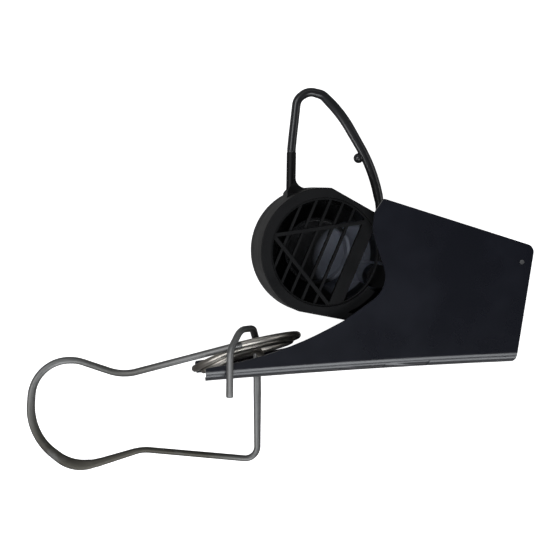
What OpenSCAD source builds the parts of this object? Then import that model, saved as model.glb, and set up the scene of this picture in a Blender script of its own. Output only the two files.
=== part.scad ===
// Snap mouse trap: a moulded drum jaw with a bait grille snaps down inside a folded
// steel channel. A wire pull ring opens the jaw, and a keyhole-shaped wire lever with a
// flat two-turn coil is clipped over the tail of the channel.
//
// Bench frame of the modules: X runs along the floor from the tail tip to the rear mouth,
// Y goes up from the floor's outer face and Z goes across the channel, from the far wall's
// outer face (Z = 0) to the near wall. The trap lies on its far wall.

/* [Channel] */
// Width over both walls
channel_w = 34; // [33:0.5:40]
// Thickness of the folded sheet
sheet_t = 0.9; // [0.7:0.1:1.1]
// Outer radius of the two long bends
bend_r = 3; // [2.5:0.25:4]
// Length of the floor from the tail tip to the rear mouth
floor_l = 87.9; // [86:0.1:92]
// Radius of the gentle bow of the floor along its length
bow_r = 2100; // [1400:20:2800]
// Height of the near wall at its front top corner
wall_h = 47.8; // [46:0.2:52]
// Height of the near wall's rim at the tail tip
tail_h = 3.6; // [3.2:0.1:4.2]
// Fall of the walls' top edge towards the rear, in degrees
top_fall = 20.7; // [18:0.1:21.5]
// Lean of the rear edge, in degrees from upright
rear_lean = 12.6; // [9:0.2:14]

/* [Jaw] */
// Width of the moulded jaw across the channel
jaw_w = 25; // [22:0.5:27]
// Outer radius of the drum head
head_r = 18.2; // [17:0.1:18.6]
// Width of the flat rim round the opening in the drum head
rim_w = 2.8; // [2.4:0.1:3.6]
// Width of the ledge that carries the grille
ledge_w = 0.5; // [0.4:0.1:1.2]
// Thickness of the drum's floor
head_floor_t = 3; // [2:0.25:4]
// Outer radius of the pivot hub
hub_r = 9.5; // [9:0.1:9.7]
// Wall of the hollow arm
arm_wall = 2.2; // [1.6:0.1:2.6]
// Radius of the round boss beside the opening
boss_r = 3.3; // [2.8:0.1:3.6]

/* [Grille and bait cup] */
// Depth of the grille
grille_t = 2.4; // [1.8:0.1:3]
// How far the grille lies below the rim of the opening
grille_recess = 0.8; // [0.4:0.1:1.4]
// Distance between slats, square to them
slat_pitch = 3.6; // [3.2:0.1:4.2]
// Thickness of one slat
slat_t = 0.7; // [0.6:0.1:1.2]
// Width of the two thin bars of the triangle
bar_w = 1; // [0.8:0.1:1.6]
// Width of the broad bar of the triangle
broad_bar_w = 3.6; // [2.8:0.1:4]
// Space between the bait cup and the rim of the opening
cup_space = 5.8; // [4.4:0.2:7]
// Height of the bait cup
cup_h = 7; // [5:0.5:10]
// Wall of the bait cup
cup_wall = 1; // [0.8:0.1:1.4]

/* [Pull ring] */
// Wire of the pull ring's legs
ring_wire_d = 2.6; // [2:0.1:2.8]
// Height of the ring's top above the drum's centre
ring_rise = 45.3; // [42:0.1:50]
// Diameter of the bead on the ring
bead_d = 2.2; // [1.8:0.1:2.6]
// Diameter of the moulded stub that holds the ring's front leg
stub_d = 2.7; // [2.6:0.1:3.4]

/* [Pins] */
// Diameter of the jaw's pivot pin
pivot_pin_d = 3; // [2.5:0.1:3.5]
// Diameter of the pin that stops the jaw when it is shut
stop_pin_d = 3; // [2.4:0.1:3.2]
// Diameter of the small bright pin that ties the walls at the rear
tie_pin_d = 1.3; // [1:0.1:1.6]
// Diameter of the trip pedal's pin
trip_pin_d = 2; // [1.6:0.1:2.2]
// Radial clearance of everything that turns on a pin
running_gap = 0.05; // [0.03:0.01:0.1]
// Gap between neighbouring pieces that move apart
free_gap = 0.3; // [0.3:0.05:0.4]

/* [Springs] */
// Wire of the keyhole lever and its coil
lever_wire_d = 2; // [1.7:0.1:2.1]
// Gap between the flat coil and the channel's two walls
coil_side_gap = 0.6; // [0.5:0.1:1.5]
// Turns of the flat coil
coil_turns = 2; // [1:1:2]
// Gap between the turns of each spring
turn_gap = 0.42; // [0.41:0.01:0.5]
// Tilt of the flat coil against the floor, in degrees
coil_tilt = 9.4; // [8:0.1:12]
// Wire of the jaw spring
jaw_spring_wire_d = 1.4; // [1.1:0.1:1.5]
// Radius of the jaw spring to the wire's centre
jaw_spring_r = 3.4; // [3:0.1:4]
// Turns of the jaw spring around the pin, before its legs part
jaw_spring_turns = 5; // [3:1:5]

/* [Trip pedal] */
// Thickness of the pedal's sheet
pedal_t = 0.8; // [0.6:0.05:0.85]
// Width of the pedal across the channel
pedal_w = 24; // [18:0.5:26]

/* [Hidden] */
$fn = 64;
eps = 0.01;

// The row's origin lies on the far wall's outer face, this far from the bench datum
datum = [74, 24];

mid_z = channel_w / 2;
inner_z0 = sheet_t;
inner_z1 = channel_w - sheet_t;
bow_rise = 0.2;
bow_x = 35;

// Places of the round features, seen from the side
head_c = [35.95, 33.6];
hub_c = [80, 14];
tie_c = [91.1, 27.6];
trip_c = [36, 5.2];
boss_c = [51.3, 25.7];
boss_space = 1.1;

mouth_r = head_r - rim_w;
cup_r = mouth_r - cup_space;

jaw_z0 = mid_z - jaw_w / 2;
jaw_z1 = mid_z + jaw_w / 2;

function unit(v) = v / norm(v);
function dir(a) = [cos(a), sin(a)];
function floor_y(x) = bow_rise - pow(x - bow_x, 2) / (2 * bow_r);

// Points of an outline whose corners [x, y, r] are rounded by arcs
function corner_arc(a, b, c, r, n) =
    let (u = unit(a - b), v = unit(c - b), half = acos(u * v) / 2)
    r <= 0 || half > 89.9 ? [b] :
    let (t = r / tan(half), m = b + unit(u + v) * r / sin(half), p = b + u * t, q = b + v * t)
    [for (i = [0:n]) m + r * unit((p - m) * (1 - i / n) + (q - m) * (i / n))];
function outline(c, n = 8) =
    [for (i = [0:len(c) - 1])
        let (a = c[(i + len(c) - 1) % len(c)], b = c[i], d = c[(i + 1) % len(c)])
        each corner_arc([a[0], a[1]], [b[0], b[1]], [d[0], d[1]], b[2], n)];

// ---- round wire along a path ----

// A bent wire: straight legs between 3-D corners, each corner bent to its own radius
function bend_path(c, r, n = 6) =
    [for (i = [0:len(c) - 1])
        each (i == 0 || i == len(c) - 1 ? [c[i]] : corner_arc(c[i - 1], c[i], c[i + 1], r[i], n))];
function tangent(p, i) =
    i == 0 ? unit(p[1] - p[0]) :
    i == len(p) - 1 ? unit(p[i] - p[i - 1]) :
    unit(unit(p[i] - p[i - 1]) + unit(p[i + 1] - p[i]));
function square_to(v, t) = unit(v - (v * t) * t);
// Side directions carried along the path without twist
function frames(p, i = 0, side = undef) =
    i == len(p) ? [] :
    let (t = tangent(p, i),
         s = side == undef ? square_to(abs(t[2]) < 0.7 ? [0, 0, 1] : [1, 0, 0], t) : square_to(side, t))
    concat([[s, cross(t, s)]], frames(p, i + 1, s));

// wide and thick are the wire's half sizes at each point: level with the side view and across it
module wire(p, wide, thick, sides = 8) {
    f = frames(p);
    last = len(p) - 1;
    pts = [for (i = [0:last]) for (j = [0:sides - 1])
        p[i] + f[i][0] * thick[i] * cos(360 * (j + 0.5) / sides)
             + f[i][1] * wide[i] * sin(360 * (j + 0.5) / sides)];
    skin = [for (i = [0:last - 1]) for (j = [0:sides - 1])
        let (a = i * sides + j, b = i * sides + (j + 1) % sides)
        each [[a, a + sides, b + sides], [a, b + sides, b]]];
    start = [for (j = [1:sides - 2]) [0, j, j + 1]];
    end = [for (j = [1:sides - 2]) [last * sides, last * sides + j + 1, last * sides + j]];
    polyhedron(points = pts, faces = concat(skin, start, end), convexity = 8);
}
module round_wire(p, d, sides = 8) {
    half = [for (q = p) d / 2];
    wire(p, half, half, sides);
}

// Each bend keeps its corner's width, and the legs between run from one width to the next
function spread_widths(w, n) =
    [for (i = [0:len(w) - 1]) each (i == 0 || i == len(w) - 1 ? [w[i]] : [for (j = [0:n]) w[i]])];

// Least distance between two stretches of a path that are not next to each other
function self_gap(p, d, skip) =
    min([for (i = [0:len(p) - 2]) for (j = [i + skip:1:len(p) - 1]) norm(p[i] - p[j])]) - d;

// ---- channel ----

top_slope = tan(top_fall);
rear_slope = tan(rear_lean);
front_top = [52.7, wall_h];
function top_y(x) = front_top[1] - (x - front_top[0]) * top_slope;
// Where the sloping top edge meets the leaning rear edge
rear_top_y = (top_y(floor_l)) / (1 + rear_slope * top_slope);
rear_top = [floor_l + rear_top_y * rear_slope, rear_top_y];

near_outline = [
    [0, -2, 0], [0, tail_h, 0.6], [20.8, 6, 100], [39.5, 14.3, 12],
    [53.1, 22.8, 8], [48.9, 39.2, 6], [49.9, 44.2, 3], [front_top[0], front_top[1], 0.6],
    [rear_top[0], rear_top[1], 2.3], [floor_l, floor_y(floor_l), 2], [floor_l - 7, -1.6, 0]];
far_outline = [
    [0, -2, 0], [0, tail_h - 0.5, 0.6], [30, 5.2, 40], [50, 14, 10],
    [60.5, 26, 8], [60.5, top_y(60.5), 1.5],
    [rear_top[0], rear_top[1], 2.3], [floor_l, floor_y(floor_l), 2], [floor_l - 7, -1.6, 0]];

module channel_section(inset) {
    r = bend_r - inset;
    translate([bow_r + inset, inset]) {
        translate([r, 0]) square([70, channel_w - 2 * inset]);
        translate([0, r]) square([r + eps, channel_w - 2 * inset - 2 * r]);
        translate([r, r]) circle(r);
        translate([r, channel_w - 2 * inset - r]) circle(r);
    }
}

module bowed_channel() {
    sweep = 7;
    translate([bow_x, bow_rise - bow_r, 0])
        rotate([0, 0, 90 - sweep / 2])
            rotate_extrude(angle = sweep, $fn = 720)
                difference() {
                    channel_section(0);
                    channel_section(sheet_t);
                }
}

module pin_hole(c, d) {
    translate([c[0], c[1], -1]) cylinder(d = d, h = channel_w + 2);
}

// Holes in the floor: the lever's upright passes one, the coil's fixed leg hooks into the other
riser_hole = [15.8, mid_z - 0.3];
riser_hole_r = lever_wire_d / 2 + 1.5;
anchor_hole_r = lever_wire_d / 2 + free_gap;

module channel_body() {
    color([0.10, 0.11, 0.13]) difference() {
        intersection() {
            bowed_channel();
            union() {
                translate([0, 0, mid_z]) linear_extrude(mid_z + 1) polygon(outline(near_outline));
                translate([0, 0, -1]) linear_extrude(mid_z + 1) polygon(outline(far_outline));
            }
        }
        pin_hole(hub_c, pivot_pin_d);
        pin_hole(stop_c, stop_pin_d);
        pin_hole(tie_c, tie_pin_d);
        pin_hole(trip_c, trip_pin_d);
        translate([riser_hole[0], 10, riser_hole[1]]) rotate([90, 0, 0])
            cylinder(r = riser_hole_r, h = 12);
        translate([anchor_hole[0], 10, anchor_hole[1]]) rotate([90, 0, 0])
            cylinder(r = anchor_hole_r, h = 12);
        // Cut-out of the floor under the coil's front edge
        translate([-1, -3, bend_r + 1]) cube([8.2, 5.2, channel_w - 2 * bend_r - 2]);
    }
}

// ---- jaw ----

// Outline of two circles joined by their common tangents
function tangent_points(c0, r0, c1, r1) =
    let (d = c1 - c0, a = atan2(d[1], d[0]), k = acos((r0 - r1) / norm(d)))
    [c0 + r0 * dir(a + k), c1 + r1 * dir(a + k), c1 + r1 * dir(a - k), c0 + r0 * dir(a - k)];
// The arm's straight top and under lines cut a little off the round drum
head_top_r = head_r - 1.5;
head_low_r = head_r - 0.5;
module arm_outline(inset) {
    top = tangent_points(head_c, head_top_r - inset, hub_c, hub_r - inset);
    low = tangent_points(head_c, head_low_r - inset, hub_c, hub_r - inset);
    top_dir = unit(top[1] - top[0]);
    low_dir = unit(low[2] - low[3]);
    intersection() {
        union() {
            polygon([top[0], top[1], low[2], low[3]]);
            translate(head_c) circle(head_r - inset, $fn = 128);
            translate(hub_c) circle(hub_r - inset);
        }
        polygon([top[0] - 60 * top_dir, top[0] + 60 * top_dir, low[3] + 70 * low_dir,
                 low[3] - 60 * low_dir]);
    }
}
// Underside of the arm at x
function arm_under_y(x) =
    let (t = tangent_points(head_c, head_low_r, hub_c, hub_r), p = t[3], q = t[2])
    p[1] + (x - p[0]) * (q[1] - p[1]) / (q[0] - p[0]);

// The shut jaw comes down to the stop pin
stop_x = 58;
arm_slope = atan2(arm_under_y(60) - arm_under_y(40), 20);
stop_c = [stop_x, arm_under_y(stop_x) - (stop_pin_d / 2 + free_gap) / cos(arm_slope)];

bay_x = 68;
bay_z0 = mid_z - 6.5;
bay_z1 = mid_z + 6.5;
washer_t = 0.5;
washer_r = 4;
catch_a = -90;
catch_r = 1.6;
catch_reach = -0.1;

// The ring's front leg stands in the stub, its rear leg in a socket of the arm
stub_foot = [28.45, 46];
stub_top = [29.65, 62.2];
stub_lean = atan2(stub_top[0] - stub_foot[0], stub_top[1] - stub_foot[1]);
spigot_d = 1.5;
spigot_l = 3;
rear_leg_in = [54.45, 38.8];
rear_leg_out = [54.3, 46.1];
rear_leg_lean = atan2(rear_leg_out[0] - rear_leg_in[0], rear_leg_out[1] - rear_leg_in[1]);

module stub_solid() {
    r = stub_d / 2;
    translate([stub_foot[0], stub_foot[1], mid_z]) rotate([0, 0, -stub_lean]) rotate([-90, 0, 0])
        cylinder(r = r, h = norm(stub_top - stub_foot));
    // Concave foot that spreads into the drum
    intersection() {
        translate([0, 0, mid_z - 5]) linear_extrude(10) polygon(concat(
            corner_arc([21.5, 43.6], [28.5 - r, 49.1], [29.1 - r, 58], 5, 6),
            corner_arc([29.1 + r, 58], [28.8 + r, 51.8], [37, 51.8], 2.8, 6),
            [[37, 45]]));
        translate([20, 0, mid_z]) rotate([0, 90, 0]) linear_extrude(20) polygon(concat(
            corner_arc([-6, 50.6], [-r, 50.6], [-r, 58], 4, 6),
            corner_arc([r, 58], [r, 50.6], [6, 50.6], 4, 6),
            [[6, 43], [-6, 43]]));
    }
}

module jaw_arm() {
    color([0.13, 0.13, 0.14]) difference() {
        union() {
            translate([0, 0, jaw_z0]) linear_extrude(jaw_w) arm_outline(0);
            // Side bosses reach out to the washers
            translate([hub_c[0], hub_c[1], inner_z0 + washer_t + 0.1])
                cylinder(r = washer_r + 0.5, h = channel_w - 2 * (sheet_t + washer_t + 0.1));
            // Catch nose that the pedal's edge holds when the trap is set
            translate([hub_c[0] + (hub_r + catch_reach) * cos(catch_a),
                       hub_c[1] + (hub_r + catch_reach) * sin(catch_a), bay_z1])
                cylinder(r = catch_r, h = jaw_z1 - bay_z1);
            intersection() {
                stub_solid();
                translate([0, 0, jaw_z0]) cube([80, 90, jaw_w]);
            }
        }
        // Bore for the pin
        translate([hub_c[0], hub_c[1], -1])
            cylinder(d = pivot_pin_d + 2 * running_gap, h = channel_w + 2);
        // Drum: a deep cavity with a ledge for the grille, and a round pocket about the boss
        difference() {
            union() {
                translate([head_c[0], head_c[1], jaw_z0 + head_floor_t])
                    cylinder(r = mouth_r - ledge_w, h = jaw_w, $fn = 96);
                translate([boss_c[0], boss_c[1], jaw_z0 + head_floor_t])
                    cylinder(r = boss_r + boss_space, h = jaw_w);
            }
            translate([boss_c[0], boss_c[1], 0])
                cylinder(r = boss_r, h = jaw_z1 - grille_recess - grille_t - free_gap);
        }
        translate([head_c[0], head_c[1], jaw_z1 - grille_recess - grille_t])
            cylinder(r = mouth_r, h = jaw_w, $fn = 96);
        // Hollow of the arm, open towards the near wall
        translate([0, 0, jaw_z0 + arm_wall]) linear_extrude(jaw_w) difference() {
            intersection() {
                arm_outline(arm_wall);
                translate([0, -10]) square([bay_x, 80]);
            }
            translate(head_c) circle(head_r, $fn = 128);
            translate(boss_c) circle(boss_r);
            translate([rear_leg_in[0] - 2.6, 30]) square([5.2, 20]);
        }
        // Bay for the spring between the two cheeks of the hub
        translate([bay_x - eps, hub_c[1] - hub_r - 3, bay_z0])
            cube([30, 2 * hub_r + 20, bay_z1 - bay_z0]);
        // Socket of the ring's rear leg and hole of the spigot in the stub
        translate([rear_leg_in[0], rear_leg_in[1], mid_z]) rotate([0, 0, -rear_leg_lean])
            rotate([-90, 0, 0]) cylinder(d = ring_wire_d + 2 * running_gap, h = 20);
        translate([stub_top[0], stub_top[1], mid_z]) rotate([0, 0, -stub_lean])
            rotate([90, 0, 0]) cylinder(d = spigot_d, h = spigot_l, center = false);
    }
}

// Triangle of the grille: a thin top bar, a thin slanting bar and a broad bar
tri_left = [21.7, 39.2];
tri_right = [49.4, 41.5];
tri_foot = [38.9, 20.4];
thin_foot = [36.4, 18.5];
slat_dir = unit(tri_right - tri_foot);
grille_r = mouth_r - 0.1;
grille_ring_w = 0.5;

module bar(a, b, w) {
    d = unit(b - a);
    translate(a) rotate(atan2(d[1], d[0])) translate([0, -w / 2]) square([norm(b - a), w]);
}

module bait_grille() {
    slats = floor(grille_r / slat_pitch);
    side = [slat_dir[1], -slat_dir[0]];
    color([0.16, 0.16, 0.17]) translate([0, 0, jaw_z1 - grille_recess - grille_t]) {
        linear_extrude(grille_t) {
            difference() {
                translate(head_c) circle(grille_r, $fn = 96);
                translate(head_c) circle(grille_r - grille_ring_w, $fn = 96);
            }
            intersection() {
                translate(head_c) circle(grille_r, $fn = 96);
                union() {
                    bar(tri_left - [2, 0.17], tri_right + [3, 0.25], bar_w);
                    bar(tri_left + [-1.4, 2], thin_foot + [1.4, -2], bar_w);
                    bar(tri_foot - 8 * slat_dir, tri_right + 8 * slat_dir, broad_bar_w);
                }
            }
        }
        linear_extrude(grille_t - 0.5) intersection() {
            translate(head_c) circle(grille_r, $fn = 96);
            union() for (i = [1:2 * slats])
                let (m = tri_foot - side * (broad_bar_w / 2 + 0.1 + i * slat_pitch))
                    bar(m - 30 * slat_dir, m + 40 * slat_dir, slat_t);
        }
    }
}

module bait_cup() {
    color([0.20, 0.19, 0.18]) translate([head_c[0], head_c[1], jaw_z0 + head_floor_t])
        difference() {
            cylinder(r = cup_r, h = cup_h);
            translate([0, 0, cup_wall]) cylinder(r = cup_r - cup_wall, h = cup_h);
        }
}

// ---- pull ring ----

ring_top = head_c[1] + ring_rise;
stub_dir = unit(stub_top - stub_foot);
// The front leg climbs from the stub to the shoulder in a slight bend
ring_shoulder = [32.1, ring_top - 1.7];
ring_climb = ring_shoulder - stub_top;
ring_corners = [
    [stub_top[0], stub_top[1], mid_z],
    [stub_top[0] + stub_dir[0], stub_top[1] + stub_dir[1], mid_z],
    [stub_top[0] + 0.265 * ring_climb[0], stub_top[1] + 0.307 * ring_climb[1], mid_z],
    [ring_shoulder[0], ring_shoulder[1], mid_z], [35.6, ring_top + 0.45, mid_z],
    [39.6, ring_top - 0.9, mid_z], [44.75, 72.1, mid_z], [52.9, 56, mid_z],
    [rear_leg_out[0], rear_leg_out[1], mid_z], [rear_leg_in[0], rear_leg_in[1] + free_gap, mid_z]];
ring_bends = [0, 6, 2.667 * ring_climb[1], 3.5, 4, 3.5, 36.5, 46, 12, 0];
ring_bend_n = 6;
ring_path = bend_path(ring_corners, ring_bends, ring_bend_n);
// The ring is a little broader in its long rear part
ring_swell = [0.97, 0.97, 0.97, 0.97, 1, 1.06, 1.13, 1.08, 1, 1];
ring_wide = spread_widths(ring_swell, ring_bend_n) * ring_wire_d / 2;
ring_thick = [for (q = ring_path) ring_wire_d / 2];

module pull_ring() {
    color([0.07, 0.07, 0.08]) {
        wire(ring_path, ring_wide, ring_thick, 12);
        // Spigot in the stub
        translate([stub_top[0], stub_top[1], mid_z]) rotate([0, 0, -stub_lean])
            rotate([90, 0, 0]) translate([0, 0, -0.5])
                cylinder(d = spigot_d - 2 * running_gap, h = spigot_l + 0.5 - free_gap);
    }
}

// The bead sits on the inner side of the rear leg, at this station of the ring's path
bead_i = len(ring_path) - 14;
bead_t = tangent(ring_path, bead_i);
bead_c = ring_path[bead_i] + [bead_t[1], -bead_t[0], 0] * (ring_wide[bead_i] + bead_d / 2 + eps);
module ring_bead() {
    color([0.07, 0.07, 0.08]) translate(bead_c) sphere(d = bead_d);
}
echo(bead_c = bead_c);

// ---- pins and washers ----

module cross_pin(c, d) {
    translate([c[0], c[1], 0]) cylinder(d = d - eps, h = channel_w);
}
module rear_tie_pin() { color("silver") cross_pin(tie_c, tie_pin_d); }
module jaw_stop_pin() { color([0.15, 0.15, 0.16]) cross_pin(stop_c, stop_pin_d); }
module jaw_pivot_pin() { color([0.15, 0.15, 0.16]) cross_pin(hub_c, pivot_pin_d); }
module trip_pin() { color([0.15, 0.15, 0.16]) cross_pin(trip_c, trip_pin_d); }

module pivot_washers() {
    color([0.75, 0.74, 0.70])
        for (z = [inner_z0, inner_z1 - washer_t])
            translate([hub_c[0], hub_c[1], z]) difference() {
                cylinder(r = washer_r, h = washer_t);
                translate([0, 0, -1]) cylinder(d = pivot_pin_d + 2 * running_gap, h = 3);
            }
}

// ---- jaw spring ----

jaw_spring_pitch = jaw_spring_wire_d + turn_gap;
// The fixed leg lies on the upper side of the tie pin
spring_seat = jaw_spring_wire_d / 2 + 0.1;
tie_v = tie_c - hub_c;
fixed_leg_a = atan2(tie_v[1], tie_v[0])
    - asin((jaw_spring_r - tie_pin_d / 2 - spring_seat) / norm(tie_v));
fixed_leg_l = norm(tie_v) + 1.5;
jaw_spring_start = fixed_leg_a + 90;
// The moving leg presses on the inside of the arm's floor
press_x = 58;
press_v = [press_x, arm_under_y(press_x) + (arm_wall + spring_seat) / cos(arm_slope)] - hub_c;
moving_leg_l = sqrt(press_v * press_v - pow(jaw_spring_r, 2));
jaw_spring_end = atan2(press_v[1], press_v[0]) - acos(jaw_spring_r / norm(press_v));
jaw_spring_sweep = 360 * jaw_spring_turns + (jaw_spring_end - jaw_spring_start + 360) % 360 - 360;
jaw_spring_z0 = mid_z - jaw_spring_pitch * jaw_spring_sweep / 720;
jaw_spring_steps = round(jaw_spring_sweep / 45);
function jaw_spring_point(a) =
    [hub_c[0] + jaw_spring_r * cos(jaw_spring_start + a),
     hub_c[1] + jaw_spring_r * sin(jaw_spring_start + a),
     jaw_spring_z0 + jaw_spring_pitch * a / 360];
jaw_spring_path = concat(
    [jaw_spring_point(0) + fixed_leg_l * concat(dir(fixed_leg_a), [0])],
    [for (i = [0:jaw_spring_steps]) jaw_spring_point(jaw_spring_sweep * i / jaw_spring_steps)],
    [jaw_spring_point(jaw_spring_sweep) + moving_leg_l * concat(dir(jaw_spring_end + 90), [0])]);

module jaw_spring() {
    color([0.62, 0.61, 0.58]) round_wire(jaw_spring_path, jaw_spring_wire_d, 6);
}

// ---- trip pedal ----

pedal_barrel_r = trip_pin_d / 2 + running_gap + 0.85;
pedal_end_x = 75.4;
// The upturned lip holds the jaw's catch nose
pedal_lip = 1.1;
pedal_z0 = mid_z - pedal_w / 2;

module trip_pedal() {
    rear_y = floor_y(pedal_end_x) + sheet_t + 0.45;
    front_y = floor_y(trip_c[0]) + sheet_t + 0.6;
    color([0.45, 0.46, 0.48]) translate([0, 0, pedal_z0]) difference() {
        union() {
            translate([trip_c[0], trip_c[1], 0]) cylinder(r = pedal_barrel_r, h = pedal_w);
            linear_extrude(pedal_w) polygon([
                [trip_c[0] + 0.6, trip_c[1] - 1.6], [trip_c[0] + 4.6, front_y],
                [pedal_end_x, rear_y], [pedal_end_x, rear_y + pedal_t + pedal_lip],
                [pedal_end_x - pedal_t, rear_y + pedal_t + pedal_lip],
                [pedal_end_x - pedal_t, rear_y + pedal_t],
                [trip_c[0] + 4.9, front_y + pedal_t], [trip_c[0] + 1.7, trip_c[1] - 0.5]]);
        }
        translate([trip_c[0], trip_c[1], -1])
            cylinder(d = trip_pin_d + 2 * running_gap, h = pedal_w + 2);
    }
}

// ---- keyhole lever and its coil ----

// The coil is a flat oval that widens by one step per turn, so its turns nest in each other
coil_c = [13.36, 6.52, mid_z];
coil_roll = 8.7;
coil_oval = 1.057;
coil_rise = 1;
coil_top = 1.1;
// How far the coil's front end hangs below its plane
coil_droop = 2;
coil_u = [cos(coil_tilt), sin(coil_tilt), 0];
coil_level = [-sin(coil_tilt), cos(coil_tilt), 0];
coil_n = cos(coil_roll) * coil_level - sin(coil_roll) * [0, 0, 1];
coil_v = sin(coil_roll) * coil_level + cos(coil_roll) * [0, 0, 1];
coil_r = channel_w / 2 - sheet_t - coil_side_gap - lever_wire_d / 2;
coil_step = sqrt(pow(lever_wire_d + turn_gap, 2) - pow(coil_rise, 2));
coil_steps = 24 * coil_turns;
function eased(t) = let (c = max(0, min(1, t))) c * c * (3 - 2 * c);
// Steps of the radius still to come after k turns, each taken in a quarter turn
function steps_left(k) = coil_turns - eased(4 * k) - (coil_turns > 1 ? eased(4 * (k - 1)) : 0);
// Winds from the near side, over the front, and back to the near side
function coil_point(k) =
    let (a = 90 + 360 * k, r = coil_r - coil_step * steps_left(k))
    coil_c + coil_oval * r * cos(a) * coil_u + r * sin(a) * coil_v
    + (coil_top - coil_rise * (coil_turns - k) - coil_droop * pow(max(0, -cos(a)), 2)) * coil_n;
coil_start = coil_point(0);
coil_end = coil_point(coil_turns);
coil_lead = 2.2;
anchor_hole = [coil_start[0] + 3.4, coil_start[2] - 1.8];

// Fixed leg: from the inner turn straight down through the floor
anchor_corners = [
    [anchor_hole[0], floor_y(anchor_hole[0]) - 0.6, anchor_hole[1]],
    [anchor_hole[0], coil_start[1] + 0.2, anchor_hole[1]],
    coil_start + 0.7 * coil_u];
coil_path = concat(
    bend_path(anchor_corners, [0, 2.2, 0], 4),
    [for (i = [0:coil_steps]) coil_point(coil_turns * i / coil_steps)],
    [coil_end - coil_lead * coil_u]);

module lever_coil() {
    color([0.66, 0.63, 0.57]) round_wire(coil_path, lever_wire_d, 6);
}

lever_start = coil_end - coil_lead * coil_u;
hook_z = channel_w + free_gap + 0.55 * lever_wire_d;
// Corners of the lever: place, bend radius and the wire's half width in the side view
lever_corners = [
    [lever_start, 0, 0.98],
    [lever_start - 2.2 * coil_u, 6.6, 0.98],
    [[-22.2, 1.8, mid_z], 10.8, 0.98],
    [[-34.7, 6.95, mid_z], 10.8, 0.97],
    [[-46.9, 7.8, mid_z], 10.7, 1.05],
    [[-49.6, -13.1, mid_z], 16.6, 1.3],
    [[-38.2, -23.2, mid_z], 11.1, 1.6],
    [[-31.3, -22.65, mid_z], 25, 1.2],
    [[-18, -19.6, mid_z], 12, 0.86],
    [[14.8, -24.9, mid_z], 3.4, 0.9],
    [[15.9, -5.9, mid_z], 30, 1.1],
    [[16.5, 8.6, mid_z + 1], 5, 1.05],
    [[14.6, 13.4, mid_z + 9.5], 5, 1.05],
    [[10.6, 13.6, mid_z + 14.5], 5, 1.1],
    [[6.9, 8.2, hook_z], 6, 1.12],
    [[6, -4.9, hook_z], 0, 1.18]];
lever_bend_n = 6;
lever_path = bend_path([for (c = lever_corners) c[0]], [for (c = lever_corners) c[1]], lever_bend_n);
lever_wide = spread_widths([for (c = lever_corners) c[2]], lever_bend_n);
lever_thick = [for (w = lever_wide) pow(lever_wire_d / 2, 2) / w];

module lever_wire() {
    color([0.66, 0.65, 0.62]) wire(lever_path, lever_wide * lever_wire_d / 2, lever_thick, 8);
}

echo(coil_gap = self_gap(coil_path, lever_wire_d, 12));
echo(jaw_spring_gap = self_gap(jaw_spring_path, jaw_spring_wire_d, 5));

module placed() {
    translate([-datum[0], -datum[1], 0]) children();
}

placed() channel_body();
placed() rear_tie_pin();
placed() jaw_stop_pin();
placed() jaw_pivot_pin();
placed() pivot_washers();
placed() jaw_arm();
placed() bait_grille();
placed() bait_cup();
placed() pull_ring();
placed() ring_bead();
placed() jaw_spring();
placed() trip_pedal();
placed() trip_pin();
placed() lever_wire();
placed() lever_coil();
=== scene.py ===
import math

import bmesh
import bpy
from mathutils import Matrix, Vector


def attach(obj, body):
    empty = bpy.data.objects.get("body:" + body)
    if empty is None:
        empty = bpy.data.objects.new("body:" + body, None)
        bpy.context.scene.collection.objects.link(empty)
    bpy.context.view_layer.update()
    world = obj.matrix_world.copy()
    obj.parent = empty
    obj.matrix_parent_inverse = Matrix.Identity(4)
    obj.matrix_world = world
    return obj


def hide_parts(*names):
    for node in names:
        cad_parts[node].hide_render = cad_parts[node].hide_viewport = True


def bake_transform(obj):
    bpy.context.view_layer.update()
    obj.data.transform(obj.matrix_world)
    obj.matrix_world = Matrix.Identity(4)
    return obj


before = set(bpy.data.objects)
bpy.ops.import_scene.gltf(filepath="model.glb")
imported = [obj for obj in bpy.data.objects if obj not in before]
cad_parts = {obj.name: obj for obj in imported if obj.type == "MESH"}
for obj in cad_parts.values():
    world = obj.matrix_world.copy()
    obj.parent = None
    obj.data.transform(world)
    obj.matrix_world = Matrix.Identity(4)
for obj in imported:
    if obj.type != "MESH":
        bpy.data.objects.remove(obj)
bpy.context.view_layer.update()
print("frame loaded:", len(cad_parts), "nodes")

# Bench frame in millimetres: X along the channel floor from the tail tip, Y up from the floor, Z across
benchDatum = Vector((74.0, 24.0, 0.0))
midZ = 17.0
hubPoint = Vector((80, 14))  # the jaw turns about this point of the side view


def place(x, y, z):
    return (Vector((x, y, z)) - benchDatum) / 1000


def toBench(point):
    return point * 1000 + benchDatum


cameraSetup = {
    "position": (-0.13083, 0.03440, 0.66111),
    "target": (-0.04972, 0.00201, 0.017),
    "up": (0.05722, 0.99836, 0.0),
    "fieldOfView": 14.033,
    "clip": (0.01, 20.0),
}
studio = {
    "sky": (0.80, 0.88, 1.0),
    "skyStrength": 0.04,
    "paper": (0.96, 0.96, 0.96),
    "paperGrain": 0.99,  # how much of the paper's colour its darker grain keeps
    "paperRough": 0.9,
    "paperGlow": 1.0,
    "paperBounce": 0.2,
    "paperShade": 0.03,
    "floorSize": 3.0,
    "floorDrop": 0.0004,
}
coolLight = (0.94, 0.97, 1.0)
dayLight = (0.97, 0.98, 1.0)
whiteLight = (1.0, 1.0, 1.0)
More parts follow.
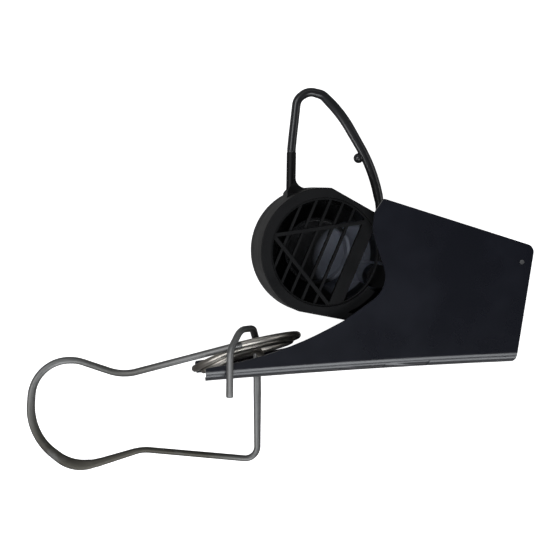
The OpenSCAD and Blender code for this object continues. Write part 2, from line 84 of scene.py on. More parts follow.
# Each soft box hangs at its position and faces the middle of the trap
softBoxes = {
    "upperLeftBox": {
        "position": (-0.56, 0.29, 0.78), "size": (0.5, 0.5), "power": 2.3, "colour": dayLight},
    "lowerLeftBox": {
        "position": (-0.75, -0.25, 0.50), "size": (0.4, 0.4), "power": 1.7, "colour": dayLight},
    "lowBox": {
        "position": (0.02, -0.48, 0.68), "size": (0.42, 0.34), "power": 1.8, "colour": coolLight},
    "tableBox": {
        "position": (0.05, -0.85, 0.30), "size": (0.6, 0.3), "power": 1.9, "colour": coolLight},
    "frontBox": {
        "position": (-0.20, 0.10, 1.00), "size": (0.6, 0.5), "power": 0.08, "colour": coolLight},
    "rightBox": {
        "position": (0.80, 0.10, 0.50), "size": (0.4, 0.5), "power": 0.7, "colour": whiteLight},
    "topBox": {
        "position": (-0.05, 0.80, 0.52), "size": (0.9, 0.12), "power": 0.5, "colour": whiteLight},
}
trapMiddle = (-0.04, -0.005, 0.017)
softBoxUp = (0.02, 1, 0.1)


def lookAt(position, target, up):
    back = (Vector(position) - Vector(target)).normalized()
    right = Vector(up).cross(back).normalized()
    top = back.cross(right)
    turn = Matrix((right, top, back)).transposed()
    return Matrix.Translation(position) @ turn.to_4x4()


def makeCamera(setup):
    data = bpy.data.cameras.new("productCamera")
    data.sensor_fit = "HORIZONTAL"
    data.angle = math.radians(setup["fieldOfView"])
    data.clip_start, data.clip_end = setup["clip"]
    camera = bpy.data.objects.new("productCamera", data)
    bpy.context.scene.collection.objects.link(camera)
    camera.matrix_world = lookAt(setup["position"], setup["target"], setup["up"])
    bpy.context.scene.camera = camera


def makeSoftBox(name, setup):
    data = bpy.data.lights.new(name, "AREA")
    data.shape = "RECTANGLE"
    data.size, data.size_y = setup["size"]
    data.energy = setup["power"]
    data.color = setup["colour"]
    lamp = bpy.data.objects.new(name, data)
    bpy.context.scene.collection.objects.link(lamp)
    lamp.matrix_world = lookAt(setup["position"], trapMiddle, softBoxUp)


def makeSky(setup):
    world = bpy.data.worlds.new("studioSky")
    bpy.context.scene.world = world
    world.use_nodes = True
    background = world.node_tree.nodes["Background"]
    background.inputs["Color"].default_value = (*setup["sky"], 1)
    background.inputs["Strength"].default_value = setup["skyStrength"]
    bpy.context.scene.view_settings.view_transform = "Standard"


makeCamera(cameraSetup)
makeSky(studio)
for boxName, boxSetup in softBoxes.items():
    makeSoftBox(boxName, boxSetup)
print("camera and lights set:", len(softBoxes), "soft boxes")


def newGroup(name, inputs, outputs):
    group = bpy.data.node_groups.new(name, "ShaderNodeTree")
    for label, kind, value in inputs:
        socket = group.interface.new_socket(label, in_out="INPUT", socket_type=kind)
        if value is not None:
            socket.default_value = value
    for label, kind in outputs:
        group.interface.new_socket(label, in_out="OUTPUT", socket_type=kind)
    start = group.nodes.new("NodeGroupInput")
    end = group.nodes.new("NodeGroupOutput")
    return group, start, end


def noiseNode(tree, detail, scale=1.0, roughness=0.55):
    node = tree.nodes.new("ShaderNodeTexNoise")
    node.inputs["Scale"].default_value = scale
    node.inputs["Detail"].default_value = detail
    node.inputs["Roughness"].default_value = roughness
    return node


def mathNode(tree, operation):
    node = tree.nodes.new("ShaderNodeMath")
    node.operation = operation
    return node


def buildMottle():
    # Fine grain and broad cloudy patches, used by paint, plastic and steel alike
    group, start, end = newGroup(
        "mottle",
        [("Vector", "NodeSocketVector", None), ("Patch Scale", "NodeSocketFloat", 60.0),
         ("Grain Scale", "NodeSocketFloat", 1500.0), ("Low", "NodeSocketFloat", 0.35),
         ("High", "NodeSocketFloat", 0.65)],
        [("Patch", "NodeSocketFloat"), ("Grain", "NodeSocketFloat")])
    patch = noiseNode(group, 4)
    grain = noiseNode(group, 3)
    spread = group.nodes.new("ShaderNodeMapRange")
    spread.interpolation_type = "SMOOTHSTEP"
    link = group.links.new
    link(start.outputs["Vector"], patch.inputs["Vector"])
    link(start.outputs["Vector"], grain.inputs["Vector"])
    link(start.outputs["Patch Scale"], patch.inputs["Scale"])
    link(start.outputs["Grain Scale"], grain.inputs["Scale"])
    link(start.outputs["Low"], spread.inputs["From Min"])
    link(start.outputs["High"], spread.inputs["From Max"])
    link(patch.outputs[0], spread.inputs["Value"])
    link(spread.outputs["Result"], end.inputs["Patch"])
    link(grain.outputs[0], end.inputs["Grain"])
    return group


def buildSpecks():
    # Sparse small marks: dust on paint, pits in steel
    group, start, end = newGroup(
        "specks",
        [("Vector", "NodeSocketVector", None), ("Scale", "NodeSocketFloat", 700.0),
         ("Size", "NodeSocketFloat", 0.12), ("Rarity", "NodeSocketFloat", 0.62)],
        [("Mask", "NodeSocketFloat")])
    cells = group.nodes.new("ShaderNodeTexVoronoi")
    cells.feature = "F1"
    dots = mathNode(group, "LESS_THAN")
    veil = noiseNode(group, 2, 90)
    rare = mathNode(group, "GREATER_THAN")
    both = mathNode(group, "MULTIPLY")
    link = group.links.new
    link(start.outputs["Vector"], cells.inputs["Vector"])
    link(start.outputs["Scale"], cells.inputs["Scale"])
    link(cells.outputs["Distance"], dots.inputs[0])
    link(start.outputs["Size"], dots.inputs[1])
    link(start.outputs["Vector"], veil.inputs["Vector"])
    link(veil.outputs[0], rare.inputs[0])
    link(start.outputs["Rarity"], rare.inputs[1])
    link(dots.outputs[0], both.inputs[0])
    link(rare.outputs[0], both.inputs[1])
    link(both.outputs[0], end.inputs["Mask"])
    return group


mottleGroup = buildMottle()
specksGroup = buildSpecks()


def startMaterial(name, look):
    material = bpy.data.materials.new(name)
    material.use_nodes = True
    tree = material.node_tree
    shader = tree.nodes["Principled BSDF"]
    shader.inputs["Metallic"].default_value = look.get("metallic", 0.0)
    shader.inputs["IOR"].default_value = look.get("ior", 1.5)
    shader.inputs["Coat Weight"].default_value = look.get("coat", 0.0)
    shader.inputs["Coat Roughness"].default_value = look.get("coatRoughness", 0.2)
    return material, tree, shader


def groupNode(tree, group, vector, values):
    node = tree.nodes.new("ShaderNodeGroup")
    node.node_tree = group
    tree.links.new(vector, node.inputs["Vector"])
    for label, value in values.items():
        node.inputs[label].default_value = value
    return node


def mixColours(tree, mask, dark, light):
    mix = tree.nodes.new("ShaderNodeMix")
    mix.data_type = "RGBA"
    tree.links.new(mask, mix.inputs[0])
    for index, colour in ((6, dark), (7, light)):  # the Mix node's two colour sockets
        if isinstance(colour, tuple):
            mix.inputs[index].default_value = (*colour, 1)
        else:
            tree.links.new(colour, mix.inputs[index])
    return mix.outputs[2]


def spreadValue(tree, source, low, high, fromLow=0.0, fromHigh=1.0):
    node = tree.nodes.new("ShaderNodeMapRange")
    node.inputs["From Min"].default_value = fromLow
    node.inputs["From Max"].default_value = fromHigh
    node.inputs["To Min"].default_value = low
    node.inputs["To Max"].default_value = high
    tree.links.new(source, node.inputs["Value"])
    return node.outputs["Result"]


def fadeFrom(tree, where, point, reach, far=0.0):
    # 1 close to the point, falling to the far value over the reach
    away = tree.nodes.new("ShaderNodeVectorMath")
    away.operation = "DISTANCE"
    away.inputs[1].default_value = point
    tree.links.new(where, away.inputs[0])
    return spreadValue(tree, away.outputs["Value"], 1.0, far, *reach)


def addBump(tree, shader, height, strength, distance):
    bump = tree.nodes.new("ShaderNodeBump")
    bump.inputs["Strength"].default_value = strength
    bump.inputs["Distance"].default_value = distance
    tree.links.new(height, bump.inputs["Height"])
    tree.links.new(bump.outputs["Normal"], shader.inputs["Normal"])


speckSize = 0.12
grainDepth = 0.00006
streakDepth = 0.00005
streakScale = (14, 0.7, 1)  # many streaks round the wire, each long along it


def speckValues(look):
    return {"Scale": look["speckScale"], "Rarity": look["speckRarity"], "Size": speckSize}


def coatedMaterial(name, look):
    material, tree, shader = startMaterial(name, look)
    where = tree.nodes.new("ShaderNodeTexCoord").outputs["Object"]
    scales = {"Patch Scale": look["patch"], "Grain Scale": look["grain"]}
    mottle = groupNode(tree, mottleGroup, where, scales)
    specks = groupNode(tree, specksGroup, where, speckValues(look))
    base = mixColours(tree, mottle.outputs["Patch"], look["dark"], look["light"])
    if "litPatch" in look:
        # Painted light: a pale patch round this point, fading away from it, stands in for the light
        # falling on the drum's far side
        near = fadeFrom(tree, where, look["litPatchPoint"], look["litPatchReach"])
        base = mixColours(tree, near, base, look["litPatch"])
    worn = mixColours(tree, specks.outputs["Mask"], base, look["speck"])
    tree.links.new(worn, shader.inputs["Base Color"])
    rough = spreadValue(tree, mottle.outputs["Patch"], *look["rough"])
    tree.links.new(rough, shader.inputs["Roughness"])
    addBump(tree, shader, mottle.outputs["Grain"], look["bump"], grainDepth)
    return material


def wireMaterial(name, look):
    # Drawn wire: its streaks run along the wire in the piece's own UV map
    material, tree, shader = startMaterial(name, look)
    coordinates = tree.nodes.new("ShaderNodeTexCoord")
    where = coordinates.outputs["Object"]
    turn = tree.nodes.new("ShaderNodeMapping")
    turn.inputs["Scale"].default_value = streakScale
    streak = noiseNode(tree, 5, 1.0, 0.7)
    tree.links.new(coordinates.outputs["UV"], turn.inputs["Vector"])
    tree.links.new(turn.outputs["Vector"], streak.inputs["Vector"])
    mottle = groupNode(tree, mottleGroup, where, {
        "Patch Scale": look["patch"], "Grain Scale": look["grain"],
        "Low": look["tintLow"], "High": look["tintHigh"]})
    specks = groupNode(tree, specksGroup, where, speckValues(look))
    # A tint is mixed in round this point and fades away from it; on the lever's lower arm it is partly
    # painted shade
    near = fadeFrom(tree, where, look["tintPoint"], look["tintReach"], look["tintFar"])
    amount = mathNode(tree, "MULTIPLY")
    tree.links.new(mottle.outputs["Patch"], amount.inputs[0])
    tree.links.new(near, amount.inputs[1])
    streaks = mixColours(tree, streak.outputs[0], look["dark"], look["light"])
    tinted = mixColours(tree, amount.outputs[0], streaks, look["tint"])
    pitted = mixColours(tree, specks.outputs["Mask"], tinted, look["speck"])
    tree.links.new(pitted, shader.inputs["Base Color"])
    rough = spreadValue(tree, streak.outputs[0], *look["rough"])
    tree.links.new(rough, shader.inputs["Roughness"])
    addBump(tree, shader, streak.outputs[0], look["bump"], streakDepth)
    return material


def paperMaterial(name, setup):
    # The paper looks bright to the camera, but the trap's glossy sides see it dim
    material, tree, shader = startMaterial(name, {})
    where = tree.nodes.new("ShaderNodeTexCoord")
    grain = noiseNode(tree, 4, 400)
    tree.links.new(where.outputs["Object"], grain.inputs["Vector"])
    darker = tuple(c * setup["paperGrain"] for c in setup["paper"])
    paper = mixColours(tree, grain.outputs[0], darker, setup["paper"])
    rays = tree.nodes.new("ShaderNodeLightPath")
    glow = spreadValue(tree, rays.outputs["Is Camera Ray"], setup["paperBounce"], setup["paperGlow"])
    shade = mixColours(tree, rays.outputs["Is Camera Ray"], (setup["paperShade"],) * 3, paper)
    tree.links.new(shade, shader.inputs["Base Color"])
    shader.inputs["Roughness"].default_value = setup["paperRough"]
    tree.links.new(paper, shader.inputs["Emission Color"])
    tree.links.new(glow, shader.inputs["Emission Strength"])
    return material


# Painted light: a pale patch on the drum's far side stands in for the lamps' light falling in through its
# opening
drumLitPatch = {"litPatch": (0.42, 0.45, 0.53), "litPatchPoint": place(46.5, 30, 8), "litPatchReach": (0.0095, 0.0115)}
# Each finish is mottled from dark to light, and rough gives the roughness of these two
finishes = {
    "blackPaint": {
        "dark": (0.0032, 0.0038, 0.0088), "light": (0.0048, 0.0056, 0.0130),
        "speck": (0.02, 0.02, 0.024), "patch": 45, "grain": 900, "speckScale": 900, "speckRarity": 0.70,
        "rough": (0.26, 0.34), "bump": 0.08, "coat": 1.0, "coatRoughness": 0.24},
    "blackPlastic": {
        "dark": (0.0030, 0.0030, 0.0035), "light": (0.0048, 0.0048, 0.0055),
        "speck": (0.03, 0.03, 0.03), "patch": 80, "grain": 1600, "speckScale": 800, "speckRarity": 0.66,
        # the moulding and the cup carry the painted light patch inside the drum
        "rough": (0.42, 0.54), "bump": 0.18, "ior": 1.36, **drumLitPatch},
    "cupPlastic": {
        "dark": (0.006, 0.006, 0.007), "light": (0.012, 0.012, 0.014),
        "speck": (0.05, 0.05, 0.05), "patch": 120, "grain": 1200, "speckScale": 500, "speckRarity": 0.6,
        "rough": (0.30, 0.5), "bump": 0.3, **drumLitPatch},
    "washerPlastic": {
        "dark": (0.50, 0.49, 0.45), "light": (0.60, 0.59, 0.55),
        "speck": (0.3, 0.29, 0.27), "patch": 200, "grain": 2000, "speckScale": 900, "speckRarity": 0.62,
        "rough": (0.4, 0.55), "bump": 0.15},
    "pedalSteel": {
        "dark": (0.20, 0.20, 0.205), "light": (0.30, 0.30, 0.30),
        "speck": (0.10, 0.08, 0.06), "patch": 70, "grain": 1400, "speckScale": 600, "speckRarity": 0.6,
        "rough": (0.28, 0.45), "bump": 0.15, "metallic": 1.0},
    "pinSteel": {
        "dark": (0.14, 0.14, 0.14), "light": (0.22, 0.22, 0.22),
        "speck": (0.25, 0.24, 0.22), "patch": 300, "grain": 2500, "speckScale": 1500, "speckRarity": 0.62,
        "rough": (0.4, 0.52), "bump": 0.1, "metallic": 1.0},
}
# Wires are streaked from dark to light, and the tint lies in patches round its own point
wireFinishes = {
    "springSteel": {
        "dark": (0.23, 0.23, 0.225), "light": (0.40, 0.40, 0.395),
        "speck": (0.08, 0.075, 0.065), "patch": 70, "grain": 1800, "speckScale": 1300, "speckRarity": 0.58,
        # The darker brownish tint round the lever's lower arm is partly the wire's own tone and partly
        # painted shade on that arm
        "tint": (0.125, 0.118, 0.10), "tintLow": 0.25, "tintHigh": 0.45,
        "tintPoint": place(-25, -30, midZ), "tintFar": 0.0, "tintReach": (0.026, 0.042),
        "rough": (0.46, 0.60), "bump": 0.12, "metallic": 1.0},
    # Painted light: the coil is a much lighter, warmer copy of the spring steel, standing in for the light
    # on its strands; it is darker round its left tip
    "coilSteelPaintedLight": {
        "dark": (0.66, 0.61, 0.53), "light": (0.96, 0.93, 0.86),
        "speck": (0.10, 0.08, 0.06), "patch": 150, "grain": 1800, "speckScale": 1300, "speckRarity": 0.58,
        "tint": (0.20, 0.18, 0.16), "tintLow": 0.25, "tintHigh": 0.45,
        "tintPoint": place(-4, 3, midZ), "tintFar": 0.0, "tintReach": (0.006, 0.016),
        "rough": (0.34, 0.48), "bump": 0.2, "metallic": 1.0},
    "ringPaint": {
        "dark": (0.013, 0.013, 0.014), "light": (0.026, 0.026, 0.028),
        "speck": (0.05, 0.05, 0.05), "patch": 60, "grain": 1800, "speckScale": 1300, "speckRarity": 0.6,
        "tint": (0.025, 0.025, 0.026), "tintLow": 0.5, "tintHigh": 0.7,
        "tintPoint": place(40, 70, midZ), "tintFar": 1.0, "tintReach": (0.0, 0.1),
        "rough": (0.24, 0.34), "bump": 0.2, "coat": 0.5, "coatRoughness": 0.2},
}
materials = {name: coatedMaterial(name, look) for name, look in finishes.items()}
materials.update({name: wireMaterial(name, look) for name, look in wireFinishes.items()})
print("materials built:", len(materials))


def makeFloor(setup):
    bm = bmesh.new()
    bmesh.ops.create_grid(bm, x_segments=2, y_segments=2, size=setup["floorSize"])
    mesh = bpy.data.meshes.new("studioFloor")
    bm.to_mesh(mesh)
    bm.free()
    mesh.transform(Matrix.Translation((0, 0, -setup["floorDrop"])))
    mesh.materials.append(paperMaterial("floorPaper", setup))
    floor = bpy.data.objects.new("studioFloor", mesh)
    bpy.context.scene.collection.objects.link(floor)


makeFloor(studio)
print("floor made")

crispAngle = 38.0
weldDistance = 1e-6
straightAngle = 89.7


def finishPiece(name, bm, material, weighted=True):
    # Edges sharper than the crisp angle stay crisp, the rest is shaded smooth
    for face in bm.faces:
        face.smooth = True
    limit = math.radians(crispAngle)
    for edge in bm.edges:
        edge.smooth = len(edge.link_faces) == 2 and edge.calc_face_angle(0.0) < limit
    mesh = bpy.data.meshes.new(name)
    bm.to_mesh(mesh)
    bm.free()
    mesh.materials.append(materials[material])
    piece = bpy.data.objects.new(name, mesh)
    bpy.context.scene.collection.objects.link(piece)
    if weighted:
        modifier = piece.modifiers.new("evenShading", "WEIGHTED_NORMAL")
        modifier.keep_sharp = True
    return piece


def bendAt(a, b, c, radius, steps):
    # Arc of the radius between the legs a-b and b-c; a nearly straight corner stays as it is
    if radius <= 0:
        return [b]
    u, v = (a - b).normalized(), (c - b).normalized()
    half = math.acos(max(-1.0, min(1.0, u.dot(v)))) / 2
    if half > math.radians(straightAngle):
        return [b]
    middle = b + (u + v).normalized() * (radius / math.sin(half))
    p = b + u * (radius / math.tan(half)) - middle
    q = b + v * (radius / math.tan(half)) - middle
    angle = p.angle(q)
    points = []
    for i in range(steps + 1):
        t = i / steps
        mixed = p * math.sin((1 - t) * angle) + q * math.sin(t * angle)
        points.append(middle + mixed / math.sin(angle))
    return points


def bentPath(corners, steps=18, longest=0.0012):
    # Takes corners of point, bend radius and width, gives stations of point and eased width
    stations = []
    for i, (point, radius, width) in enumerate(corners):
        if i in (0, len(corners) - 1):
            bend = [point]
        else:
            bend = bendAt(corners[i - 1][0], point, corners[i + 1][0], radius, steps)
        if stations:
            last, lastWidth = stations[-1]
            count = int((bend[0] - last).length / longest)
            for k in range(1, count):
                t = k / count
                ease = t * t * (3 - 2 * t)
                stations.append((last.lerp(bend[0], t), lastWidth + (width - lastWidth) * ease))
        stations.extend((p, width) for p in bend)
    return stations


def evenWidths(stations, passes=40):
    # Lets each change of width run on into the neighbouring stations
    widths = [width for point, width in stations]
    for _ in range(passes):
        middle = [(a + 2 * b + c) / 4 for a, b, c in zip(widths, widths[1:], widths[2:])]
        widths = [widths[0], *middle, widths[-1]]
    return widths


def pathFrames(points):
    # Side, level and forward directions, carried along the path without twist
    frames = []
    side = None
    for i in range(len(points)):
        along = (points[min(i + 1, len(points) - 1)] - points[max(i - 1, 0)]).normalized()
        if side is None:  # a path that starts steeply across the trap takes X as its side
            side = Vector((0, 0, 1)) if abs(along.z) < 0.7 else Vector((1, 0, 0))
        side = (side - along * side.dot(along)).normalized()
        frames.append(Matrix((side, along.cross(side), along)).transposed().to_4x4())
    return frames


def sweepWire(points, across, level, sides=20, roundEnds=(0.3, 0.3)):
    # A circle is extruded from station to station; level lies in the side view, across square to it
    frames = pathFrames(points)
    last = len(points) - 1

    def endRings(i, roundness, sign):
        # Station, size and shift of the three rings that round an end
        depth = roundness * min(across[i], level[i])
        part = 0.3
        return [(i, 1 - roundness, 0.0), (i, 1 - roundness * part, sign * depth * part),
                (i, 1.0, sign * depth)]

    rings = endRings(0, roundEnds[0], 1)
    rings += [(i, 1.0, 0.0) for i in range(1, last)]
    rings += reversed(endRings(last, roundEnds[1], -1))

    def ringMatrix(ring):
        i, shrink, shift = ring
        forward = frames[i].to_3x3() @ Vector((0, 0, shift))
        scale = Matrix.Diagonal((across[i] * shrink, level[i] * shrink, 1, 1))
        return Matrix.Translation(points[i] + forward) @ frames[i] @ scale

    bm = bmesh.new()
    uvLayer = bm.loops.layers.uv.new("alongWire")
    verts = bmesh.ops.create_circle(bm, cap_ends=False, segments=sides, radius=1.0)["verts"]
    edges = list({e for v in verts for e in v.link_edges})
    bmesh.ops.contextual_create(bm, geom=edges)
    current = ringMatrix(rings[0])
    bmesh.ops.transform(bm, matrix=current, verts=verts)
    turns = {}
    walked = 0.0

    def noteTurns(verts, matrix):
        # Each vertex keeps its turn round the wire and the way walked along it, for the UV map
        inverse = matrix.inverted()
        for v in verts:
            local = inverse @ v.co
            turns[v] = (math.atan2(local.y, local.x) / math.tau % 1.0, walked * 1000)

    noteTurns(verts, current)
    for before, ring in zip(rings, rings[1:]):
        grown = bmesh.ops.extrude_edge_only(bm, edges=edges)["geom"]
        verts = [g for g in grown if isinstance(g, bmesh.types.BMVert)]
        edges = [g for g in grown if isinstance(g, bmesh.types.BMEdge)]
        target = ringMatrix(ring)
        bmesh.ops.transform(bm, matrix=target @ current.inverted(), verts=verts)
        current = target
        walked += (points[ring[0]] - points[before[0]]).length
        noteTurns(verts, current)
    bmesh.ops.contextual_create(bm, geom=edges)
    for face in bm.faces:
        around = [turns[loop.vert][0] for loop in face.loops]
        split = max(around) - min(around) > 0.5
        for loop, turn in zip(face.loops, around):
            loop[uvLayer].uv = (turn + (1.0 if split and turn < 0.5 else 0.0), turns[loop.vert][1])
    bmesh.ops.recalc_face_normals(bm, faces=bm.faces)
    return bm


def copyNode(name, flat=0.6):
    # A CAD node's own shape, welded and with its flat faces joined, ready for rounding
    bm = bmesh.new()
    bm.from_mesh(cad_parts[name].data)
    bmesh.ops.remove_doubles(bm, verts=bm.verts, dist=weldDistance)
    bmesh.ops.dissolve_limit(bm, angle_limit=math.radians(flat), verts=bm.verts, edges=bm.edges)
    return bm


def roundEdges(bm, width, segments, chosen, sharpAngle=35.0):
    limit = math.radians(sharpAngle)
    edges = [edge for edge in bm.edges
             if len(edge.link_faces) == 2 and edge.calc_face_angle(0.0) > limit and chosen(edge)]
    bmesh.ops.bevel(bm, geom=edges, offset=width / 1000, offset_type="OFFSET", segments=segments,
                    profile=0.5, affect="EDGES", clamp_overlap=True, material=-1)


def everyEdge(edge):
    return True


def rideInPlaceOf(piece, body, node):
    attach(piece, body)
    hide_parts(node)


channelLook = {
    "edgeRadius": 0.14, "segments": 3, "sharpAngle": 40, "flat": 0.05,
    "bend": 3.0, "bendZ": (3.0, 31.0),  # the folds' radius and the places of their axes
    "bowRise": 0.2, "bowX": 35.0, "bowRadius": 2100.0,  # the floor's slight bow
    "slack": 0.01, "innermost": 1.0,  # how far off a fold, and how near its axis, a point may lie
    "facing": 0.7,  # how well a face has to look along the fold's outward direction
}


def bendNormal(point, look):
    # Outward direction on the folds between floor and walls, or nothing elsewhere
    x, y, z = point
    floor = look["bowRise"] - (x - look["bowX"]) ** 2 / (2 * look["bowRadius"])
    low, high = look["bendZ"]
    if low + look["slack"] < z < high - look["slack"] or y > floor + look["bend"] + look["slack"]:
        return None
    away = Vector((0.0, y - floor - look["bend"], z - (low if z < midZ else high)))
    if away.length < look["innermost"]:
        return None
    return away.normalized()


def smoothBends(piece, look):
    # The folds are shaded by their true roundness, everything else by its weighted faces
    shaded = piece.evaluated_get(bpy.context.evaluated_depsgraph_get()).to_mesh()
    normals = [corner.vector.copy() for corner in shaded.corner_normals]
    mesh = piece.data
    for face in mesh.polygons:
        for corner in face.loop_indices:
            vertex = mesh.vertices[mesh.loops[corner].vertex_index]
            outward = bendNormal(toBench(vertex.co), look)
            if outward is not None and abs(face.normal.dot(outward)) > look["facing"]:
                normals[corner] = outward if face.normal.dot(outward) > 0 else -outward
    piece.modifiers.clear()
    mesh.normals_split_custom_set(normals)


def makeChannel(look):
    bm = copyNode("channel_body", look["flat"])
    roundEdges(bm, look["edgeRadius"], look["segments"], everyEdge, look["sharpAngle"])
    piece = finishPiece("channelPlate", bm, "blackPaint")
    smoothBends(piece, look)
    rideInPlaceOf(piece, "channel", "channel_body")


makeChannel(channelLook)
print("channel made")

# The near face's outer rim is rounded more than the other edges
jawLook = {
    "head": Vector((35.95, 33.6)), "nearFace": 29.5, "slack": 0.02, "upright": 0.1,
    "rimRadius": 0.7, "rimAngle": 60, "edgeRadius": 0.12, "edgeAngle": 40, "segments": 3,
}


def isOuterRim(edge, look):
    # Edges of the near face that look away from the line between the drum's centre and the hub
    ends = [toBench(v.co) for v in edge.verts]
    if any(abs(p.z - look["nearFace"]) > look["slack"] for p in ends):
        return False
    middle = ((ends[0] + ends[1]) / 2).to_2d()
    line = hubPoint - look["head"]
    t = max(0.0, min(1.0, (middle - look["head"]).dot(line) / line.length_squared))
    outward = middle - (look["head"] + line * t)
    side = min(edge.link_faces, key=lambda face: abs(face.normal.z))
    return side.normal.to_2d().dot(outward) > 0 and abs(side.normal.z) < look["upright"]


def makeJaw(look):
    bm = copyNode("jaw_arm")
    roundEdges(bm, look["rimRadius"], look["segments"],
               lambda edge: isOuterRim(edge, look), look["rimAngle"])
    roundEdges(bm, look["edgeRadius"], look["segments"], everyEdge, look["edgeAngle"])
    rideInPlaceOf(finishPiece("jawMoulding", bm, "blackPlastic"), "jaw", "jaw_arm")


makeJaw(jawLook)

grilleLook = {"edgeRadius": 0.10, "segments": 2}


def makeGrille(look):
    bm = copyNode("bait_grille")
    roundEdges(bm, look["edgeRadius"], look["segments"], everyEdge)
    rideInPlaceOf(finishPiece("baitGrille", bm, "blackPlastic"), "jaw", "bait_grille")


makeGrille(grilleLook)

cupLook = {"edgeRadius": 0.2, "segments": 2}


def makeCup(look):
    bm = copyNode("bait_cup")
    roundEdges(bm, look["edgeRadius"], look["segments"], everyEdge)
    rideInPlaceOf(finishPiece("baitCup", bm, "cupPlastic"), "jaw", "bait_cup")


makeCup(cupLook)
print("jaw, grille and bait cup made")

# Corners of the ring: place, bend radius and breadth
ringLook = {
    "wire": 2.6, "fit": 0.998, "sides": 24, "endRounding": (0.1, 0.1),
    "bead": 2.9, "beadAt": (48.9, 59.45, midZ),
    "corners": [((29.65, 62.2), 0, 0.97), ((29.72, 63.2), 6, 0.97), ((30.3, 66.8), 40, 0.97),
                ((32.1, 77.2), 3.5, 0.97), ((35.6, 79.35), 4, 1.0), ((39.6, 78.0), 3.5, 1.06),
                ((44.75, 72.1), 36.5, 1.13), ((52.9, 56.0), 46, 1.08), ((54.3, 46.1), 12, 1.0),
                ((54.45, 39.1), 0, 1.0)],
}


def makeRing(look):
    corners = [(place(x, y, midZ), r / 1000, breadth) for (x, y), r, breadth in look["corners"]]
    stations = bentPath(corners)
    points = [point for point, breadth in stations]
    level = [breadth * look["wire"] / 2000 * look["fit"] for point, breadth in stations]
    across = [look["wire"] / 2000 * look["fit"]] * len(points)
    bm = sweepWire(points, across, level, look["sides"], look["endRounding"])
    ring = finishPiece("pullRing", bm, "ringPaint", weighted=False)
    rideInPlaceOf(ring, "jaw", "pull_ring")
    bm = bmesh.new()
    bmesh.ops.create_uvsphere(bm, u_segments=32, v_segments=20, radius=look["bead"] / 2000)
    bmesh.ops.translate(bm, verts=bm.verts, vec=place(*look["beadAt"]))
    bead = finishPiece("ringBead", bm, "ringPaint", weighted=False)
    rideInPlaceOf(bead, "jaw", "ring_bead")


makeRing(ringLook)
print("pull ring made")

coilLook = {
    "centre": Vector((13.36, 6.52, midZ)), "tilt": 9.4, "roll": 8.7, "radius": 14.5, "oval": 1.057,
    "turns": 2, "rise": 1.0, "top": 1.1, "droop": 2.0, "wire": 2.0, "turnGap": 0.42, "lead": 2.2,
    "stepsPerTurn": 72, "endRounding": (0.2, 0.0), "blendInset": 0.1,
    # The fixed leg: its hole's place from the first turn's start, its rise, and its bend into that turn
    "holeAlong": 3.4, "holeAside": 1.8, "legRise": 0.2, "legBend": 2.2, "legRun": 0.7,
}


def coilDirections(look):
    # Long axis, winding axis and cross direction of the coil
    tilt, roll = math.radians(look["tilt"]), math.radians(look["roll"])
    long = Vector((math.cos(tilt), math.sin(tilt), 0))
    level = Vector((-math.sin(tilt), math.cos(tilt), 0))
    across = Vector((0, 0, 1))
    return (long, level * math.cos(roll) - across * math.sin(roll),
            level * math.sin(roll) + across * math.cos(roll))


coilLong, coilAxis, coilAcross = coilDirections(coilLook)


def eased(t):
    c = max(0.0, min(1.0, t))
    return c * c * (3 - 2 * c)


def coilPoint(look, k):
    # k counts turns from the fixed end; each turn nests outside the one before it
    angle = math.radians(90 + 360 * k)
    step = math.sqrt((look["wire"] + look["turnGap"]) ** 2 - look["rise"] ** 2)
    radius = look["radius"] - step * (look["turns"] - eased(4 * k) - eased(4 * (k - 1)))
    flat = coilLong * (look["oval"] * math.cos(angle)) + coilAcross * math.sin(angle)
    droop = look["droop"] * max(0.0, -math.cos(angle)) ** 2
    height = look["top"] - look["rise"] * (look["turns"] - k) - droop
    return look["centre"] + flat * radius + coilAxis * height


def makeCoil(look):
    start = coilPoint(look, 0)
    end = coilPoint(look, look["turns"])
    holeX, holeZ = start.x + look["holeAlong"], start.z - look["holeAside"]
    leg = [(Vector((holeX, 0.0, holeZ)), 0, 1),
           (Vector((holeX, start.y + look["legRise"], holeZ)), look["legBend"], 1),
           (start + coilLong * look["legRun"], 0, 1)]
    points = [place(*point) for point, width in bentPath(leg, steps=12, longest=1.2)]
    steps = look["stepsPerTurn"] * look["turns"]
    points += [place(*coilPoint(look, look["turns"] * i / steps)) for i in range(steps + 1)]
    points.append(place(*(end - coilLong * look["lead"])))
    half = [look["wire"] / 2000] * len(points)
    bm = sweepWire(points, half, half, roundEnds=look["endRounding"])
    piece = finishPiece("leverCoil", bm, "coilSteelPaintedLight", weighted=False)
    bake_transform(piece)
    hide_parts("lever_coil")


makeCoil(coilLook)
print("coil made")

# Corners of the lever after the coil: place, bend radius and half width in the side view
leverLook = {
    "run": 2.2, "runBend": 6.6, "runWidth": 0.98, "endRounding": (0.0, 0.45),
    "corners": [
        ((-22.2, 1.8, midZ), 10.8, 0.98), ((-34.7, 6.95, midZ), 10.8, 0.97),
        ((-46.9, 7.8, midZ), 10.7, 1.05), ((-49.6, -13.1, midZ), 16.6, 1.3),
        ((-38.2, -23.2, midZ), 11.1, 1.6), ((-31.3, -22.65, midZ), 25, 1.2),
        ((-18, -19.6, midZ), 12, 0.86), ((14.8, -24.9, midZ), 3.4, 0.9),
        ((15.9, -5.9, midZ), 30, 1.1), ((16.5, 8.6, midZ + 1), 5, 1.05),
        ((14.6, 13.4, midZ + 9.5), 5, 1.05), ((10.6, 13.6, midZ + 14.5), 5, 1.1),
        ((6.9, 8.2, 35.4), 6, 1.12), ((6, -4.9, 35.4), 0, 1.18)],
}


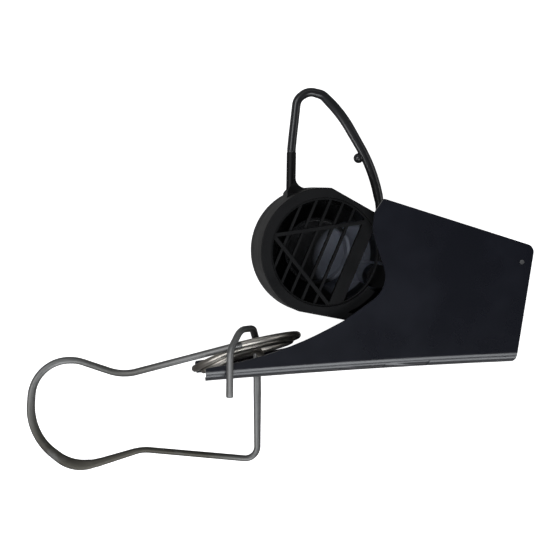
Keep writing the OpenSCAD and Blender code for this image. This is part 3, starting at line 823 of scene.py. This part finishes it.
def makeLever(look):
    start = coilPoint(coilLook, coilLook["turns"]) - coilLong * coilLook["lead"]
    corners = [(start, 0, look["runWidth"]),
               (start - coilLong * look["run"], look["runBend"], look["runWidth"]),
               *look["corners"]]
    stations = bentPath([(place(*point), r / 1000, width) for point, r, width in corners])
    points = [point for point, width in stations]
    widths = evenWidths(stations)
    # Where the wire is broad in the side view it is thin across, so its section stays the same
    level = [width / 1000 for width in widths]
    across = [0.001 / width for width in widths]
    bm = sweepWire(points, across, level, roundEnds=look["endRounding"])
    piece = finishPiece("keyholeLever", bm, "springSteel", weighted=False)
    rideInPlaceOf(piece, "lever", "lever_wire")


makeLever(leverLook)
print("lever made")

springLook = {
    "radius": 3.4, "wire": 1.4, "firstZ": 13.442, "lastZ": 20.558, "startAngle": 134.4,
    "sweep": 1407.44, "fixedLeg": 19.05, "movingLeg": 21.77, "blendInset": 0.9,
    "sides": 12, "stepsPerTurn": 48, "endRounding": (0.2, 0.2),
}


def makeJawSpring(look):
    # Straight legs leave the coil along its tangents; the turns between them share the jaw's swing
    def onCoil(angle):
        turn = math.radians(look["startAngle"] + angle)
        centre = hubPoint + Vector((math.cos(turn), math.sin(turn))) * look["radius"]
        height = look["firstZ"] + (look["lastZ"] - look["firstZ"]) * angle / look["sweep"]
        return Vector((*centre, height))

    def tangent(angle):
        turn = math.radians(look["startAngle"] + angle + 90)
        return Vector((math.cos(turn), math.sin(turn), 0))

    steps = round(look["sweep"] / 360 * look["stepsPerTurn"])
    coil = [onCoil(look["sweep"] * i / steps) for i in range(steps + 1)]
    path = [coil[0] - tangent(0) * look["fixedLeg"], *coil,
            coil[-1] + tangent(look["sweep"]) * look["movingLeg"]]
    half = [look["wire"] / 2000] * len(path)
    bm = sweepWire([place(*point) for point in path], half, half, look["sides"], look["endRounding"])
    piece = finishPiece("jawSpringWire", bm, "springSteel", weighted=False)
    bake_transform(piece)
    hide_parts("jaw_spring")


makeJawSpring(springLook)
print("jaw spring made")

# Small pieces that keep their CAD shape
keptFinishes = {
    "rear_tie_pin": "pinSteel", "jaw_stop_pin": "blackPaint", "jaw_pivot_pin": "blackPaint",
    "trip_pin": "blackPaint", "pivot_washers": "washerPlastic", "trip_pedal": "pedalSteel",
}
for nodeName, finish in keptFinishes.items():
    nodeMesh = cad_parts[nodeName].data
    nodeMesh.materials.clear()
    nodeMesh.materials.append(materials[finish])
print("small pieces finished:", len(keptFinishes))

print("all pieces made")
